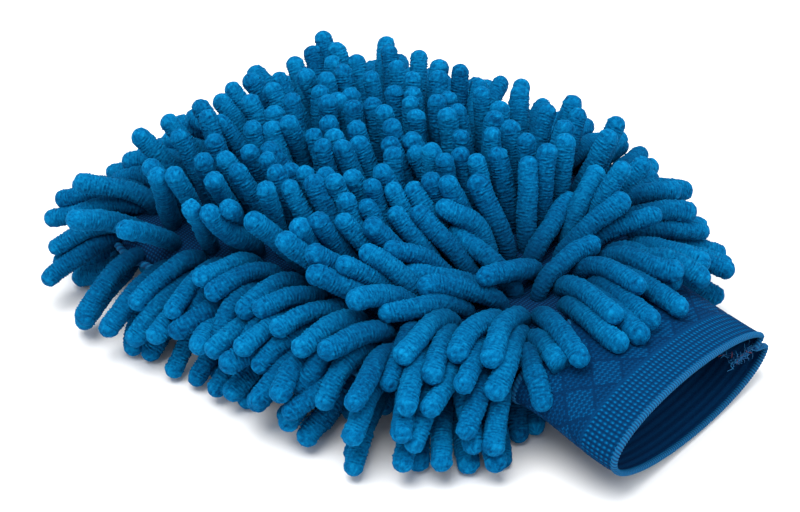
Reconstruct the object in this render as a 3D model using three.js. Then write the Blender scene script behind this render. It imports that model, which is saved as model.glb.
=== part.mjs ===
// Chenille wash mitt with an open knitted cuff, lying on its palm. Millimetres, +Z up.
// +X runs across the hand, +Y from the cuff's mouth to the fingertips.
// While it is being built, y = 0 is the mouth and z = 0 the surface the palm rests on.
import * as THREE from 'three';

// ---- Driving dimensions ----------------------------------------------------------------

const FABRIC = 1.4; // thickness of the knitted ground fabric
const GAP = 0.3; // clearance between faces that are sewn together
const TIP_Y = 214; // fingertip end of the ground fabric
const CORNER_RADIUS = 34; // of the two fingertip corners
const CUFF_START = 2.7; // the selvedge fills the space in front of the band
const CUFF_END = 43;
const BODY_START = 46;
const SELVEDGE_LENGTH = 2.4;
const WIDEST_Y = 90; // where the heel has flared out to full width
const STRETCH_GAP = 1.5; // between the heel and side stretches of an edge tier, where it bends
const PILE_LENGTH = 25; // one chenille finger, root to tip
const PILE_THICKNESS = 6.4; // of one row of fingers
const PILE_PITCH = 10.4; // finger to finger along a row
const FINGER_WIDTH = 7.6; // at the tip
const VALLEY = 0.3; // share of the finger's length that its row joins up
const ROW_COUNT = 15;
const FIRST_ROW_Y = 53;
const LAST_ROW_Y = 196;
const CROWN_FAN = THREE.MathUtils.degToRad(30); // lean of a top row's end fingers
const CROWN_MARGIN = 16; // from the fabric's edge in to a top row's end
const PALM_MARGIN = 14;
const CUFF_LEAN = THREE.MathUtils.degToRad(-62); // of the first top row, over the cuff
const TIP_LEAN = THREE.MathUtils.degToRad(26); // of the last top row
const LEAN_FADE = 6; // higher keeps the lean to the outermost rows

// Cross-sections of the mitt. Each is an oval: a flat middle with elliptical shoulders.
const STATIONS = [
  { y: 0, halfWidth: 46, top: 16, bottom: 16, shoulder: 46, middle: 18.5 },
  { y: CUFF_END, halfWidth: 43, top: 13.5, bottom: 12, shoulder: 38, middle: 24.6 },
  { y: WIDEST_Y, halfWidth: 68, top: 12, bottom: 9.5, shoulder: 22, middle: 25 },
  { y: TIP_Y - CORNER_RADIUS, halfWidth: 68, top: 9, bottom: 8, shoulder: 22, middle: 25 },
];
const CORNER_X = STATIONS[3].halfWidth - CORNER_RADIUS;
const CORNER_Y = TIP_Y - CORNER_RADIUS;

// Three tiers of pile stand out all round the body's edge.
const TIERS = [
  { name: 'upper', side: 1, inset: 5, rise: THREE.MathUtils.degToRad(45), lift: 2 },
  { name: 'middle', side: 0, inset: -3.6, rise: THREE.MathUtils.degToRad(4), lift: 0 },
  { name: 'lower', side: -1, inset: 5, rise: THREE.MathUtils.degToRad(-30), lift: 2.6 },
];

const PILE_BLUE = new THREE.MeshStandardMaterial({ color: 0x0a5c93, roughness: 0.95, metalness: 0 });
const GROUND_BLUE = new THREE.MeshStandardMaterial({ color: 0x06395f, roughness: 0.9, metalness: 0 });
const CUFF_BLUE = new THREE.MeshStandardMaterial({ color: 0x0a4d86, roughness: 0.85, metalness: 0 });
const THREAD_BLUE = new THREE.MeshStandardMaterial({ color: 0x1669a8, roughness: 0.7, metalness: 0 });

// ---- Shape of the mitt -----------------------------------------------------------------

const { clamp, lerp, smoothstep } = THREE.MathUtils;

/** Cross-section values at y, eased between the stations. */
function sectionAt(y) {
  const next = STATIONS.find((station, i) => i > 0 && y <= station.y) ?? STATIONS[3];
  const last = STATIONS[STATIONS.indexOf(next) - 1];
  const t = smoothstep(y, last.y, next.y);
  return Object.fromEntries(Object.keys(next).map((key) => [key, lerp(last[key], next[key], t)]));
}

/** Half the fabric's width at y, for an outline drawn `inset` inside the sewn edge. */
function halfWidthAt(y, inset = 0) {
  if (y <= CORNER_Y) return sectionAt(y).halfWidth - inset;
  const rise = Math.min(y - CORNER_Y, CORNER_RADIUS - inset);
  return CORNER_X + Math.sqrt((CORNER_RADIUS - inset) ** 2 - rise ** 2);
}

/** Distance in from the sewn edge, in plan. */
function edgeDistance(x, y) {
  if (y <= CORNER_Y) return halfWidthAt(y) - Math.abs(x);
  return CORNER_RADIUS - Math.hypot(Math.max(Math.abs(x) - CORNER_X, 0), y - CORNER_Y);
}

/** Height of the fabric over the seam plane. side is 1 for the back of the hand, -1 for the palm. */
function heightAt(x, y, side, inset = 0) {
  const section = sectionAt(y);
  const rise = (side > 0 ? section.top : section.bottom) - inset;
  const t = clamp((edgeDistance(x, y) - inset) / (section.shoulder - inset), 0, 1);
  return section.middle + side * rise * Math.sqrt(1 - (1 - t) ** 2);
}

/** A point on the sewn edge, with its outward direction in plan. along counts degrees on corners. */
function edgePoint(stretch, along) {
  const { kind, hand } = stretch;
  if (kind === 'tip') return { x: along, y: TIP_Y, outward: new THREE.Vector3(0, 1, 0) };
  if (kind === 'side') {
    const slope = halfWidthAt(along + 0.5) - halfWidthAt(along - 0.5);
    const outward = new THREE.Vector3(hand, -slope, 0).normalize();
    return { x: hand * halfWidthAt(along), y: along, outward };
  }
  const angle = THREE.MathUtils.degToRad(along);
  const outward = new THREE.Vector3(hand * Math.cos(angle), Math.sin(angle), 0);
  return {
    x: hand * CORNER_X + CORNER_RADIUS * outward.x,
    y: CORNER_Y + CORNER_RADIUS * outward.y,
    outward,
  };
}

// ---- Geometry helpers ------------------------------------------------------------------

/** Evenly spaced values from `from` to `to`, both included. */
function spread(from, to, steps) {
  return Array.from({ length: steps + 1 }, (_, i) => lerp(from, to, i / steps));
}

/** A named mesh from shared corner points and their faces, turned to face outwards. */
function solid(name, points, quads, material) {
  const index = quads.flatMap(([a, b, c, d]) => [a, b, c, a, c, d]);
  let volume = 0;
  for (let i = 0; i < index.length; i += 3) {
    const [a, b, c] = [points[index[i]], points[index[i + 1]], points[index[i + 2]]];
    volume += a.dot(new THREE.Vector3().crossVectors(b, c));
  }
  if (volume < 0) index.reverse();
  const geometry = new THREE.BufferGeometry().setFromPoints(points);
  geometry.setIndex(index);
  geometry.computeVertexNormals();
  const mesh = new THREE.Mesh(geometry, material);
  mesh.name = name;
  return mesh;
}

/**
 * Skins a run of wall sections. Each section lists the wall's outer points and then its inner
 * points in the opposite order. A closed run joins up; an open one is capped at both ends.
 */
function sweep(name, sections, closed, material) {
  const size = sections[0].length;
  const quads = [];
  const runs = closed ? sections.length : sections.length - 1;
  for (let i = 0; i < runs; i += 1) {
    const here = i * size;
    const there = ((i + 1) % sections.length) * size;
    for (let j = 0; j < size; j += 1) {
      const k = (j + 1) % size;
      quads.push([here + j, here + k, there + k, there + j]);
    }
  }
  if (!closed) {
    const last = (sections.length - 1) * size;
    for (let j = 0; j < size / 2 - 1; j += 1) {
      quads.push([j, size - 1 - j, size - 2 - j, j + 1]);
      quads.push([last + j, last + j + 1, last + size - 2 - j, last + size - 1 - j]);
    }
  }
  return solid(name, sections.flat(), quads, material);
}

/**
 * One row of pile fingers. roots and ends are the lines between neighbouring fingers, from the
 * fabric out to the tips, so a row of n fingers has n + 1 of each.
 */
function pileRow(name, roots, ends, thickness = PILE_THICKNESS, fingerWidth = FINGER_WIDTH) {
  const points = [];
  const quads = [];
  const last = roots.length - 1;
  const faces = roots.map((root, k) => {
    const along = roots[Math.min(k + 1, last)].clone().sub(roots[Math.max(k - 1, 0)]);
    return along.cross(ends[k].clone().sub(root)).setLength(thickness / 2);
  });
  const addPair = (point, face) => {
    points.push(point.clone().add(face), point.clone().sub(face));
    return points.length - 2;
  };
  const base = roots.map((root, k) => addPair(root, faces[k]));
  const valley = roots.map((root, k) => addPair(root.clone().lerp(ends[k], VALLEY), faces[k]));
  for (let k = 0; k < last; k += 1) {
    const face = faces[k].clone().lerp(faces[k + 1], 0.5);
    const middle = ends[k].clone().lerp(ends[k + 1], 0.5);
    const across = ends[k + 1].clone().sub(ends[k]);
    across.setLength(Math.min(fingerWidth, 0.8 * across.length()) / 2);
    const [b, c, v, w] = [base[k], base[k + 1], valley[k], valley[k + 1]];
    const s = addPair(middle.clone().sub(across), face);
    const t = addPair(middle.clone().add(across), face);
    quads.push([b, c, w, v], [v, w, t, s]);
    quads.push([b + 1, v + 1, w + 1, c + 1], [v + 1, s + 1, t + 1, w + 1]);
    quads.push([b, b + 1, c + 1, c], [v, s, s + 1, v + 1], [w, w + 1, t + 1, t], [s, t, t + 1, s + 1]);
  }
  const [b, v, c, w] = [base[0], valley[0], base[last], valley[last]];
  quads.push([b, v, v + 1, b + 1], [c, c + 1, w + 1, w]);
  return solid(name, points, quads, PILE_BLUE);
}

// ---- Ground fabric ---------------------------------------------------------------------

/** Points up the length of one panel, at the share `across` of its half width. */
function panelLine(across, side, inset) {
  const straight = [BODY_START, 53, 61, 70, 80, WIDEST_Y, 118, 148, CORNER_Y];
  const corner = [18, 36, 54, 72, 90].map((angle) => {
    return CORNER_Y + (CORNER_RADIUS - inset) * Math.sin(THREE.MathUtils.degToRad(angle));
  });
  return [...straight, ...corner].map((y) => {
    const x = across * halfWidthAt(y, inset);
    return new THREE.Vector3(x, y, heightAt(x, y, side, inset) + side * GAP * 0.5);
  });
}

function panel(name, side) {
  const sections = spread(-90, 90, 18).map((angle) => {
    const across = Math.sin(THREE.MathUtils.degToRad(angle));
    return [...panelLine(across, side, 0), ...panelLine(across, side, FABRIC).reverse()];
  });
  return sweep(name, sections, false, GROUND_BLUE);
}

/** Overlocked thread bead that closes the two panels round the sides and the fingertips. */
function perimeterSeam() {
  const bead = { from: GAP, to: 2.7, halfHeight: 1.6 };
  const sides = [-1, 1].map((hand) => {
    const side = spread(BODY_START + 0.5, CORNER_Y, 12).map((y) => edgePoint({ kind: 'side', hand }, y));
    const corner = spread(10, 90, 8).map((angle) => edgePoint({ kind: 'corner', hand }, angle));
    return [...side, ...corner];
  });
  const sections = [...sides[0], ...sides[1].reverse()].map(({ x, y, outward }) => {
    const { middle } = sectionAt(y);
    const corner = (out, up) => new THREE.Vector3(x + out * outward.x, y + out * outward.y, middle + up);
    return [
      corner(bead.to, -bead.halfHeight),
      corner(bead.to, bead.halfHeight),
      corner(bead.from, bead.halfHeight),
      corner(bead.from, -bead.halfHeight),
    ];
  });
  return sweep('perimeter_seam', sections, false, THREAD_BLUE);
}

// ---- Cuff ------------------------------------------------------------------------------

/** One wall point of the cuff. outset is how far it stands out from the cuff's own outline. */
function cuffPoint(angle, y, outset) {
  const { halfWidth, top, bottom, shoulder, middle } = sectionAt(y);
  const side = Math.sin(angle) >= 0 ? 1 : -1;
  const x = Math.cos(angle) * (halfWidth + outset);
  const t = clamp((halfWidth + outset - Math.abs(x)) / (shoulder + outset), 0, 1);
  const rise = (side > 0 ? top : bottom) + outset;
  return new THREE.Vector3(x, y, middle + side * rise * Math.sqrt(1 - (1 - t) ** 2));
}

/** A ring of cuff wall between two distances from the mouth. */
function cuffRing(name, stations, outer, inner, material) {
  const steps = 44;
  const sections = spread(0, 2 * Math.PI, steps)
    .slice(0, steps)
    .map((angle) => [
      ...stations.map((y) => cuffPoint(angle, y, outer)),
      ...stations.map((y) => cuffPoint(angle, y, inner)).reverse(),
    ]);
  return sweep(name, sections, true, material);
}

/** Seam allowance of the cuff band's own join, standing into the cuff at its +X corner. */
function cuffJoinSeam() {
  const allowance = { from: 10, to: 2.6, halfThickness: 0.8 };
  const sections = spread(CUFF_START + 1, CUFF_END - 1, 5).map((y) => {
    const { halfWidth, middle } = sectionAt(y);
    const corner = (inset, up) => new THREE.Vector3(halfWidth - inset, y, middle + up);
    return [
      corner(allowance.from, -allowance.halfThickness),
      corner(allowance.from, allowance.halfThickness),
      corner(allowance.to, allowance.halfThickness),
      corner(allowance.to, -allowance.halfThickness),
    ];
  });
  return sweep('cuff_join_seam', sections, false, CUFF_BLUE);
}

/** Cut ends of the band's threads, loose at the mouth end of its join. */
function cuffJoinFray() {
  const y = CUFF_START + 0.6;
  const z = sectionAt(y).middle;
  const roots = spread(36.4, 43, 5).map((x) => new THREE.Vector3(x, y, z));
  const ends = roots.map((root, k) => root.clone().add(new THREE.Vector3(-0.6 + 0.2 * k, -3, 0)));
  return pileRow('cuff_join_fray', roots, ends, 0.8, 0.7);
}

// ---- Chenille pile ---------------------------------------------------------------------

/** Roots of a row across the mitt, resting on the fabric however far the row leans. */
function rowRoots(y, lean, side, reach) {
  const count = Math.round((2 * reach) / PILE_PITCH);
  const half = PILE_THICKNESS / 2;
  return spread(-reach, reach, count).map((x) => {
    const clearances = [-1, 0, 1].map((s) => {
      const fabric = heightAt(x, y - s * half * Math.cos(lean), side);
      return side * fabric - s * half * Math.sin(lean);
    });
    return new THREE.Vector3(x, y, side * (Math.max(...clearances) + 2 * GAP));
  });
}

/** Row on the back of the hand: fingers fan out sideways, and the row leans along the mitt. */
function crownRow(index) {
  const t = index / (ROW_COUNT - 1);
  const y = lerp(FIRST_ROW_Y, LAST_ROW_Y, t);
  const lean = CUFF_LEAN * (1 - t) ** LEAN_FADE + TIP_LEAN * t ** LEAN_FADE;
  const reach = halfWidthAt(y) - CROWN_MARGIN;
  const roots = rowRoots(y, lean, 1, reach);
  const ends = roots.map((root) => {
    const fan = CROWN_FAN * (root.x / reach);
    const aim = new THREE.Vector3(
      Math.sin(fan),
      Math.cos(fan) * Math.sin(lean),
      Math.cos(fan) * Math.cos(lean),
    );
    return root.clone().addScaledVector(aim, PILE_LENGTH);
  });
  return pileRow(`back_pile_row_${String(index + 1).padStart(2, '0')}`, roots, ends);
}

/** Row under the palm: the mitt's weight presses it down to the resting surface at z = 0. */
function palmRow(index) {
  const y = lerp(FIRST_ROW_Y, LAST_ROW_Y, index / (ROW_COUNT - 1));
  const roots = rowRoots(y, 0, -1, halfWidthAt(y) - PALM_MARGIN);
  const ends = roots.map((root) => new THREE.Vector3(root.x, y, 0));
  return pileRow(`palm_pile_row_${String(index + 1).padStart(2, '0')}`, roots, ends);
}

/** One stretch of an edge tier: pile standing outwards from the sides, corners or fingertips. */
function edgeRow(name, tier, stretch) {
  const count = Math.round(stretch.length / PILE_PITCH);
  const lines = spread(stretch.from, stretch.to, count).map((along) => {
    const { x, y, outward } = edgePoint(stretch, along);
    const root = new THREE.Vector3(x, y, 0).addScaledVector(outward, -tier.inset);
    root.z = tier.side === 0 ? sectionAt(y).middle : heightAt(root.x, root.y, tier.side);
    root.z += tier.side * tier.lift;
    const aim = outward.clone().multiplyScalar(Math.cos(tier.rise));
    aim.z = Math.sin(tier.rise);
    return { root, end: root.clone().addScaledVector(aim, PILE_LENGTH) };
  });
  const roots = lines.map((line) => line.root);
  const ends = lines.map((line) => line.end);
  return pileRow(name, roots, ends);
}

/** The stretches that one tier is sewn in: along the heel, the side and the corner of each hand side. */
function edgeStretches() {
  const cornerLength = (CORNER_RADIUS + PILE_LENGTH / 3) * (Math.PI / 2);
  const perHand = [
    { name: 'heel', kind: 'side', from: FIRST_ROW_Y, to: WIDEST_Y - STRETCH_GAP, length: 40 },
    { name: 'side', kind: 'side', from: WIDEST_Y, to: CORNER_Y - GAP, length: CORNER_Y - WIDEST_Y },
    { name: 'corner', kind: 'corner', from: 1, to: 89, length: cornerLength },
  ];
  const hands = [{ label: 'left', hand: -1 }, { label: 'right', hand: 1 }];
  return [
    ...hands.flatMap(({ label, hand }) => {
      return perHand.map((stretch) => ({ ...stretch, hand, name: `${label}_${stretch.name}` }));
    }),
    { name: 'fingertips', kind: 'tip', from: GAP - CORNER_X, to: CORNER_X - GAP, length: 2 * CORNER_X },
  ];
}

function edgeTier(tier) {
  return edgeStretches().map((stretch) => {
    return edgeRow(`${tier.name}_edge_pile_${stretch.name}`, tier, stretch);
  });
}

// ---- Assembly --------------------------------------------------------------------------

function washMitt() {
  const rows = Array.from({ length: ROW_COUNT }, (_, index) => index);
  const mitt = new THREE.Group();
  mitt.add(
    panel('back_panel', 1),
    panel('palm_panel', -1),
    perimeterSeam(),
    cuffRing('cuff_band', [CUFF_START, 13, 23, 33, CUFF_END], 0, -FABRIC, CUFF_BLUE),
    cuffRing('cuff_selvedge', [0, SELVEDGE_LENGTH], 0.4, -FABRIC - 0.2, THREAD_BLUE),
    cuffRing('cuff_attaching_seam', [CUFF_END + GAP, BODY_START - GAP], 0.8, -FABRIC, THREAD_BLUE),
    cuffJoinSeam(),
    cuffJoinFray(),
    ...rows.map(crownRow),
    ...rows.map(palmRow),
    ...TIERS.flatMap(edgeTier),
  );
  return mitt;
}

/** Moves the origin to the middle of the footprint, on the surface the palm rests on. */
function centred(mitt) {
  const middle = new THREE.Box3().setFromObject(mitt).getCenter(new THREE.Vector3());
  mitt.position.set(-middle.x, -middle.y, 0);
  const object = new THREE.Group();
  object.add(mitt);
  return object;
}

export default centred(washMitt());
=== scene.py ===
"""Chenille wash mitt with an open knitted cuff, lying on its palm.

Every finger of pile is its own skin, rooted in the ground fabric of the CAD panels and settled
against its neighbours. Shapes are worked out in millimetres in the CAD's frame (+X across the
hand, +Y to the fingertips, +Z up) and become metres when a mesh is made.
"""

import math

import bpy
import numpy as np
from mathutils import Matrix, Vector


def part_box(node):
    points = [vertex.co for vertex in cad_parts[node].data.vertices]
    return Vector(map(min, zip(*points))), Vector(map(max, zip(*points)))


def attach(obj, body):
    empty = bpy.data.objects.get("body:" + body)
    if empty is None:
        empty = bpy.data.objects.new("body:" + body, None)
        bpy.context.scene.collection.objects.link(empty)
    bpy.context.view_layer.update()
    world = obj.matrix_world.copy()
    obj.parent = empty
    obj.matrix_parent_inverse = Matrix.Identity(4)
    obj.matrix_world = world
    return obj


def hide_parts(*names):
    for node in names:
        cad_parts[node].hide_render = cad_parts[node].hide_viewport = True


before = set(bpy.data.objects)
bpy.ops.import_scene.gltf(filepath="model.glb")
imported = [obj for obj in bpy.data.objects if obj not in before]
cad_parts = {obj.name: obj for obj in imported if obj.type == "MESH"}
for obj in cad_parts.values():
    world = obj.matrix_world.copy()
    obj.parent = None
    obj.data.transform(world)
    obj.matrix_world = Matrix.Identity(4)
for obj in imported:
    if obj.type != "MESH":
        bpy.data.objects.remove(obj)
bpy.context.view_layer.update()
MM = 0.001


def box_mm(node):
    """Lowest and highest corner of a CAD node, in millimetres."""
    low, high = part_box(node)
    return np.array(low) / MM, np.array(high) / MM


# ---- Places read from the frame ----

RIM_LOW, RIM_HIGH = box_mm("cuff_selvedge")
JOIN_LOW, JOIN_HIGH = box_mm("cuff_attaching_seam")
BACK_LOW, BACK_HIGH = box_mm("back_panel")
BEAD_LOW, BEAD_HIGH = box_mm("perimeter_seam")

MOUTH_Y = RIM_LOW[1]
CUFF_END_Y = JOIN_LOW[1]
BODY_Y = BACK_LOW[1]
TIP_Y = BACK_HIGH[1]
HALF_WIDTH = BACK_HIGH[0]
SEAM_Z = (BEAD_LOW[2] + BEAD_HIGH[2]) / 2
CUFF_LENGTH = CUFF_END_Y - MOUTH_Y
MOUTH_HALF_WIDTH = RIM_HIGH[0] - 0.4
MOUTH_MIDDLE_Z = (RIM_LOW[2] + RIM_HIGH[2]) / 2
NECK_HALF_WIDTH = JOIN_HIGH[0] - 0.8

# ---- Driving dimensions, millimetres ----

CORNER_RADIUS = 34.0
CORNER_X = HALF_WIDTH - CORNER_RADIUS
CORNER_Y = TIP_Y - CORNER_RADIUS
WIDEST_Y = BODY_Y + 44.0
FABRIC = 1.2

FINGER_RADIUS = 3.55
FLUFF = 0.2
FINGER_LENGTH = 34.0
PALM_FINGER_LENGTH = 23.0
FINGER_PITCH = 9.5
HEEL_PITCH = 7.4
HEEL_SHIFT = 3.5
EDGE_PITCH = {"shoulder": 10.4, "upper": 9.8, "rim": 9.6, "hem": 11.0, "lower": 12.5}
CROWN_MARGIN = 15.0
PLACED_CLEARANCE = 5.5
HEEL_REACH = 22.0
PALM_MARGIN = 13.0
RIB_PITCH = 1.05
RIB_HEIGHT = 0.25

# The cuff: its mesh, then the pitch of its dots round and along, the dotted band's width, the
# fine knit's pitch, the diamonds' size, the notch at the join, and how the mouth leans and flares.
# Then the band's ends, wall and relief, the flap at the join, its frayed threads, and the beads.
CUFF_COLUMNS = 520
CUFF_ROWS = 112
LINING_ROWS = 56
DOT_PITCH = (1.62, 1.95)
DOT_ZONE = 14.0
FINE_PITCH = 1.6
DIAMOND = (15.0, 14.0)
NOTCH = {"angle": 0.2, "spread": 0.14, "depth": 7.0, "length": 36.0}
MOUTH_SHEAR = 0.085
MOUTH_FLARE = 0.02
JOIN_ALLOWANCE = 10.5
MOUTH_DROP = 0.2
BAND_END_GAP = 0.8
BAND_START = 1.2
WALL = 1.2
RELIEF_MIDDLE = 0.2
LINING_PITCH = 1.15
LINING_RELIEF = 0.22
FLAP_ROWS = 60
FLAP_COLUMNS = 12
FLAP_THICKNESS = 1.3
FRAY_COUNT = 110
FRAY_LINKS = 9
FRAY_SIDES = 5
BEAD_SIDES = 14
RINGS_PER_STITCH = 7

CHAIN = 10
RELAX_STEPS = 160
SIDES = 32
RING_STEP = 0.36
SEED = 20

CAMERA_AZIMUTH = -49.3
CAMERA_ELEVATION = 36.0
CAMERA_DISTANCE = 0.691
CAMERA_LENS = 85.0
CAMERA_TARGET = Vector((-0.0083, 0.0027, 0.025))

# Cross-sections of the mitt: y, half width, rise over and under the seam plane, shoulder, middle z.
STATIONS = np.array(
    [
        [MOUTH_Y, MOUTH_HALF_WIDTH, 16.0, 16.0, 46.0, MOUTH_MIDDLE_Z],
        [CUFF_END_Y, NECK_HALF_WIDTH, 13.5, 12.0, 38.0, SEAM_Z - 0.4],
        [WIDEST_Y, HALF_WIDTH, 12.0, 9.5, 22.0, SEAM_Z],
        [CORNER_Y, HALF_WIDTH, 9.0, 8.0, 22.0, SEAM_Z],
    ]
)

# Lie of the pile on the back of the hand: distance from the mouth, then x and the chord of a
# finger rooted there (dx, dy, dz). Fingers part round a whorl near the cuff's left side.
GROOM = {
    49: ((-38, -22, -20, -8), (-26, -16, -28, -6), (-11, -6, -31, -4), (2, -5, -31, -4),
         (17, 0, -31, -3), (31, 8, -29, -3), (42, 14, -27, -6)),
    57: ((-42, -30, -10, -8), (-29, -30, -4, -4), (-19, -10, -27, 4), (-9, 20, -14, 8),
         (2, 4, -30, 4), (15, 4, -29, 5), (30, 8, -28, 4), (44, 14, -26, 0), (54, 20, -20, -2)),
    66: ((-48, -30, 4, -8), (-35, -32, 4, 0), (-23, -20, 24, 6), (-12, -2, 30, 8), (-3, 16, 16, 16),
         (8, 24, -6, 14), (20, 14, -22, 12), (34, 16, -20, 12), (46, 22, -14, 6), (58, 26, -10, 0)),
    77: ((-55, -28, 6, -8), (-42, -28, 12, 0), (-26, -14, 26, 10), (-11, -6, 26, 16), (2, 2, 22, 22),
         (17, 10, 6, 28), (31, 12, -4, 28), (46, 20, -4, 20), (60, 28, -4, 4)),
    88: ((-60, -26, 8, 0), (-45, -18, 14, 14), (-30, -10, 18, 20), (-11, -4, 18, 24), (8, 0, 10, 29),
         (28, 5, 4, 30), (46, 14, 2, 26), (62, 27, 2, 10)),
    101: ((-62, -25, 8, 2), (-50, -15, 13, 20), (-35, -8, 14, 26), (-10, -2, 12, 29), (10, 0, 9, 31),
          (30, 3, 6, 31), (48, 12, 4, 27), (62, 26, 4, 8)),
    122: ((-62, -25, 6, 4), (-50, -12, 11, 25), (-35, -6, 13, 27), (0, 0, 9, 31), (35, 4, 8, 30),
          (50, 14, 7, 25), (62, 25, 6, 7)),
    147: ((-62, -25, 4, 4), (-50, -10, 10, 27), (-35, -5, 12, 28), (0, 0, 10, 31), (35, 4, 9, 30),
          (50, 14, 7, 25), (62, 25, 8, 7)),
    165: ((-62, -25, 4, 4), (-50, -12, 6, 27), (-35, -5, 10, 29), (0, 0, 10, 31), (35, 3, 10, 30),
          (50, 13, 9, 25), (62, 24, 10, 7)),
    180: ((-62, -26, 8, 0), (-50, -16, 6, 24), (-35, -4, 11, 29), (0, 1, 12, 29), (35, 4, 12, 29),
          (50, 14, 12, 24), (62, 23, 13, 7)),
    195: ((-55, -22, 14, 8), (-38, -7, 17, 24), (0, 0, 17, 26), (38, 5, 17, 25), (54, 16, 16, 15)),
    210: ((-60, -28, 16, -6), (-45, -12, 27, 6), (0, 0, 27, 12), (45, 12, 25, 12), (60, 22, 20, 4)),
}

# Single fingers whose lie shows: x, distance from the mouth, then the chord. They part at the
# whorl, hang over both ends of the cuff, and fan out of the left fingertip corner.
PLACED_FINGERS = (
    (-19, 53, -13, -33, 2), (-24, 56, -26, -10, -4), (-22, 64, -16, 26, 8), (-10, 60, 25, 0, 5),
    (-29, 53, -28, -14, -6), (-14, 67, 4, 28, 12), (1, 69, -26, 1, 9), (4, 75, 28, -6, 8),
    (-9, 50, -8, -32, -1), (-1, 56, -6, -32, 4), (8, 50, -3, -32, -1), (9, 58, -1, -31, 5),
    (19, 57, 2, -31, 4), (27, 57, 4, -31, 3), (35, 57, 7, -30, 2), (-30, 49, -6, -18, -20),
    (-35, 49, -12, -16, -19), (-40, 51, -19, -13, -16), (-44, 56, -25, -8, -12), (42, 53, 10, -30, -3),
    (47, 57, 13, -28, -3), (52, 62, 16, -25, -1), (55, 68, 26, -14, -3), (-57, 170, -14, -6, 28),
    (-60, 180, -27, -2, 20), (-52, 186, -9, -5, 31), (-54, 160, -14, 0, 28), (-59, 190, -24, 10, 14),
    (-55, 204, -29, 16, -16), (-50, 207, -24, 22, -8), (-61, 200, -30, 8, -16), (-46, 204, -18, 24, 2),
    (12, 67, 24, -12, 14), (19, 71, 20, 4, 22), (24, 65, 22, -16, 12), (11, 82, 12, 10, 26),
)

# How the way that the mitt lies moves it in plan: centre, reach and pull. The left fingertip
# corner and the right heel are pulled out, and the left side is drawn in.
PULLS = (
    (-58.0, TIP_Y - 10.0, 30.0, (-8.0, 9.0)),
    (62.0, BODY_Y + 36.0, 38.0, (5.0, 1.0)),
    (-68.0, BODY_Y + 92.0, 48.0, (2.0, 0.0)),
    (-44.0, BODY_Y + 12.0, 30.0, (3.0, 2.0)),
)

# ---- Shape of the mitt ----


def section_at(y):
    """Columns of half width, top rise, bottom rise, shoulder and middle z, eased between stations."""
    y = np.atleast_1d(np.asarray(y, float))
    last = np.clip(np.searchsorted(STATIONS[:, 0], y, side="right") - 1, 0, len(STATIONS) - 2)
    start, end = STATIONS[last], STATIONS[last + 1]
    t = np.clip((y - start[:, 0]) / (end[:, 0] - start[:, 0]), 0, 1)
    t = (t * t * (3 - 2 * t))[:, None]
    return (start + (end - start) * t)[:, 1:]


def half_width_at(y):
    y = np.atleast_1d(np.asarray(y, float))
    rise = np.clip(y - CORNER_Y, 0, CORNER_RADIUS)
    rounded = CORNER_X + np.sqrt(CORNER_RADIUS**2 - rise**2)
    return np.where(y <= CORNER_Y, section_at(y)[:, 0], rounded)


def edge_distance(x, y):
    """Distance in from the sewn edge, in plan. Negative outside it."""
    x, y = np.broadcast_arrays(np.asarray(x, float), np.asarray(y, float))
    corner = CORNER_RADIUS - np.hypot(np.maximum(np.abs(x) - CORNER_X, 0), y - CORNER_Y)
    straight = half_width_at(y.ravel()).reshape(y.shape) - np.abs(x)
    return np.where(y <= CORNER_Y, straight, corner)


def height_at(x, y, side):
    """Height of the fabric: side is 1 on the back of the hand and -1 on the palm."""
    x, y = np.broadcast_arrays(np.asarray(x, float), np.asarray(y, float))
    section = section_at(y.ravel()).reshape(y.shape + (5,))
    rise = np.where(np.asarray(side) > 0, section[..., 1], section[..., 2])
    t = np.clip(edge_distance(x, y) / section[..., 3], 0, 1)
    return section[..., 4] + side * rise * np.sqrt(1 - (1 - t) ** 2)


def surface_normal(x, y, side):
    """Outward unit normals of the fabric, tipped outwards where it turns over at the edge."""
    step = 0.6
    dx = (height_at(x + step, y, side) - height_at(x - step, y, side)) / (2 * step)
    dy = (height_at(x, y + step, side) - height_at(x, y - step, side)) / (2 * step)
    normal = np.stack([-dx * side, -dy * side, np.full_like(dx, 1.0) * side], -1)
    return normal / np.linalg.norm(normal, axis=-1, keepdims=True)


def pulled(points):
    """Points moved by every pull that is near them."""
    moved = np.array(points, float)
    for x, y, reach, pull in PULLS:
        near = np.exp(-((points[..., 0] - x) ** 2 + (points[..., 1] - y) ** 2) / reach**2)
        moved += near[..., None] * np.array([*pull, 0.0])
    return moved


# ---- Roots of the pile ----


def along_line(points, pitch, shift=0.0):
    """Points spaced evenly by length along a polyline."""
    lengths = np.r_[0, np.cumsum(np.linalg.norm(np.diff(points, axis=0), axis=1))]
    count = max(int(round(lengths[-1] / pitch)), 1)
    wanted = (np.arange(count) + 0.5 + shift) * lengths[-1] / count
    return np.stack([np.interp(wanted, lengths, points[:, k]) for k in range(3)], 1)


def row_roots(y, side, margin, index):
    """Roots across the mitt at y, staggered from row to row, and closest beside the cuff."""
    pitch = HEEL_PITCH if side > 0 and index == 0 else FINGER_PITCH
    reach = float(half_width_at(y)[0]) - margin
    x = np.linspace(-reach, reach, 160)
    line = np.stack([x, np.full_like(x, y), height_at(x, np.full_like(x, y), side)], 1)
    return along_line(line, pitch, 0.25 if index % 2 else -0.25)


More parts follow.
